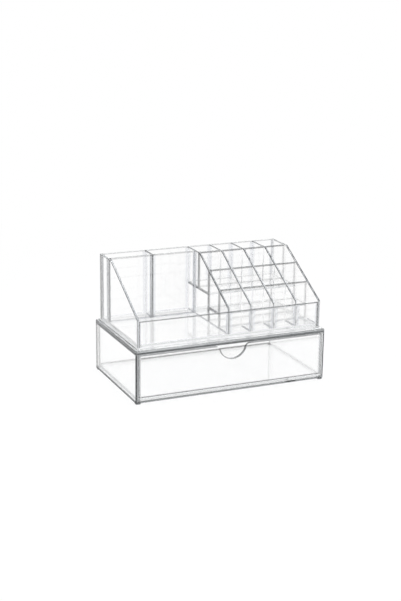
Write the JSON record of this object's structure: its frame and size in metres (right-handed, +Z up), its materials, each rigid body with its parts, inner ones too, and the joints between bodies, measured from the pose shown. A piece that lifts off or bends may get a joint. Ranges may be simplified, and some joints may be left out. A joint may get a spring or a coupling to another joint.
{
  "type": "make-up organiser with drawer",
  "caption": "Clear make-up organiser: a low case with one wide drawer under a loose tray with brush cups, an open compact area and a stepped lipstick rack.",
  "frame": {"origin": "middle of the footprint, on the surface that the feet stand on", "axes": "+X along the width, -Y the way the drawer opens, +Z up"},
  "size_m": [0.238, 0.136, 0.1443],
  "materials": {
    "clear_plastic": "clear, polished",
    "foot_pad": "matte"
  },
  "bodies": {
    "case": {"case_base_plate": "clear_plastic", "case_top_plate": "clear_plastic", "case_back_wall": "clear_plastic", "case_left_wall": "clear_plastic", "case_right_wall": "clear_plastic", "foot_front_left": "foot_pad", "foot_front_right": "foot_pad", "foot_back_left": "foot_pad", "foot_back_right": "foot_pad"},
    "drawer": {"drawer_front": "clear_plastic", "drawer_floor": "clear_plastic", "drawer_back": "clear_plastic", "drawer_left_side": "clear_plastic", "drawer_right_side": "clear_plastic"},
    "tray": {"tray_base": "clear_plastic", "tray_left_wall": "clear_plastic", "tray_right_wall": "clear_plastic", "tray_back_wall": "clear_plastic", "tray_front_wall": "clear_plastic", "centre_wall": "clear_plastic", "brush_panel": "clear_plastic", "brush_divider": "clear_plastic", "middle_shelf": "clear_plastic", "back_shelf": "clear_plastic", "row_panel_front": "clear_plastic", "row_panel_middle": "clear_plastic", "row_panel_back": "clear_plastic", "column_divider_1": "clear_plastic", "column_divider_2": "clear_plastic", "column_divider_3": "clear_plastic"}
  },
  "joints": [
    {"name": "drawer_slide", "type": "slide", "parent": "case", "child": "drawer", "axis": [0, -1, 0], "range_m": [0, 0.11]},
    {"name": "tray_lift", "type": "slide", "parent": "case", "child": "tray", "axis": [0, 0, 1], "range_m": [0, 0.08]}
  ]
}
